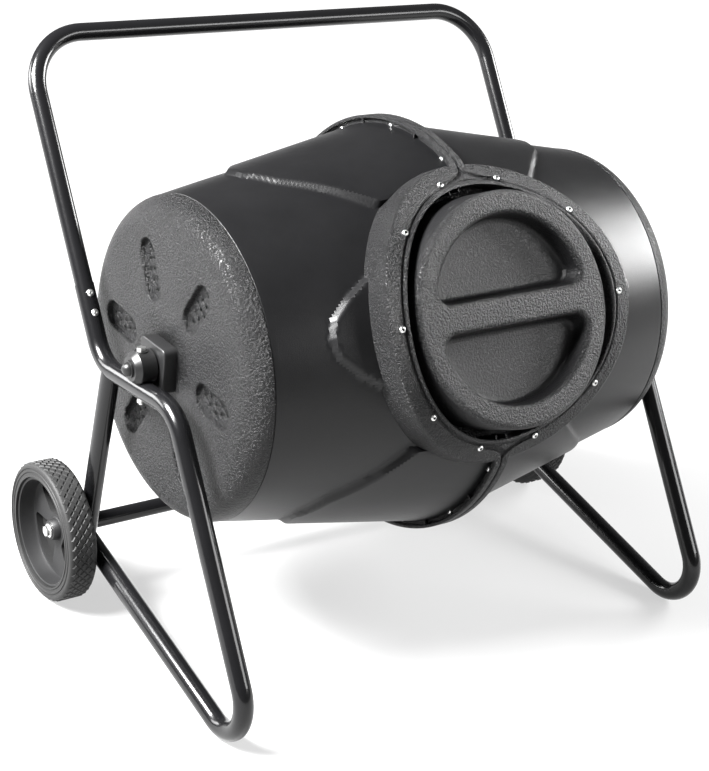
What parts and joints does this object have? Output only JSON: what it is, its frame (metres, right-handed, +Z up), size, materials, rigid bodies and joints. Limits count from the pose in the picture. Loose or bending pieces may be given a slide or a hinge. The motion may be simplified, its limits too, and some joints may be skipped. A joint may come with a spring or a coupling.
{
  "type": "compost tumbler",
  "caption": "Wheeled compost tumbler: two-part plastic drum with a screw-on lid, turning on a cross axle in a bent tube frame with a push handle.",
  "frame": {"origin": "on the floor under the middle of the whole object's box", "axes": "+Z up, X along the drum's axle, -Y the front, where the lid is"},
  "size_m": [1.088, 0.8505, 0.924],
  "materials": {
    "frame_paint": "gloss black powder coat",
    "axle_steel": "zinc plated",
    "fastener_steel": "bright zinc",
    "drum_plastic": "satin black, fine grain",
    "grained_plastic": "black, coarse leather grain",
    "fitting_plastic": "black, smooth",
    "wheel_plastic": "dark grey",
    "tyre_rubber": "matte, diamond tread",
    "seal_rubber": "matte"
  },
  "bodies": {
    "frame": {"side_tube_left": "frame_paint", "side_tube_right": "frame_paint", "bottom_tube_left": "frame_paint", "bottom_tube_right": "frame_paint", "rear_leg_left": "frame_paint", "rear_leg_right": "frame_paint", "handle_left": "frame_paint", "handle_right": "frame_paint", "crossbar": "frame_paint", "axle": "axle_steel", "crossbar_inserts": "fastener_steel", "handle_bolts": "fastener_steel", "handle_nuts": "fastener_steel", "axle_bolts": "fastener_steel", "axle_nuts": "fastener_steel", "wheel_bolts": "fastener_steel", "wheel_washers": "fastener_steel", "wheel_spacers": "fastener_steel", "tube_plugs": "fitting_plastic", "bearing_saddle_left": "fitting_plastic", "bearing_saddle_right": "fitting_plastic", "axle_cap_left": "fitting_plastic", "axle_cap_right": "fitting_plastic"},
    "drum": {"drum_left": "drum_plastic", "drum_right": "drum_plastic", "drum_hub_left": "fitting_plastic", "drum_hub_right": "fitting_plastic", "hub_lock_ring_left": "fitting_plastic", "hub_lock_ring_right": "fitting_plastic", "lid_ring": "grained_plastic", "ring_screws": "fastener_steel", "flange_screws": "fastener_steel", "flange_nuts": "fastener_steel"},
    "lid_seal": {"lid_seal": "seal_rubber"},
    "lid": {"lid": "grained_plastic"},
    "wheel_left": {"tyre_left": "tyre_rubber", "wheel_rim_left": "wheel_plastic"},
    "wheel_right": {"tyre_right": "tyre_rubber", "wheel_rim_right": "wheel_plastic"}
  },
  "joints": [
    {"name": "drum_spin", "type": "hinge", "parent": "frame", "child": "drum", "pos_m": [0, -0.0301, 0.49688], "axis": [1, 0, 0], "continuous": true},
    {"name": "lid_lift", "type": "slide", "parent": "drum", "child": "lid_seal", "axis": [0, -0.9048, 0.4258], "range_m": [0, 0.15]},
    {"name": "lid_turn", "type": "hinge", "parent": "lid_seal", "child": "lid", "pos_m": [0, -0.0301, 0.49688], "axis": [0, -0.9048, 0.4258], "range_deg": [0, 601]},
    {"name": "wheel_left_spin", "type": "hinge", "parent": "frame", "child": "wheel_left", "pos_m": [-0.519, 0.15896, 0.121], "axis": [1, 0, 0], "continuous": true},
    {"name": "wheel_right_spin", "type": "hinge", "parent": "frame", "child": "wheel_right", "pos_m": [0.519, 0.15896, 0.121], "axis": [1, 0, 0], "continuous": true}
  ],
  "couplings": [
    {"joint": "lid_turn", "follows": "lid_lift", "rad_per_m": 69.813}
  ]
}
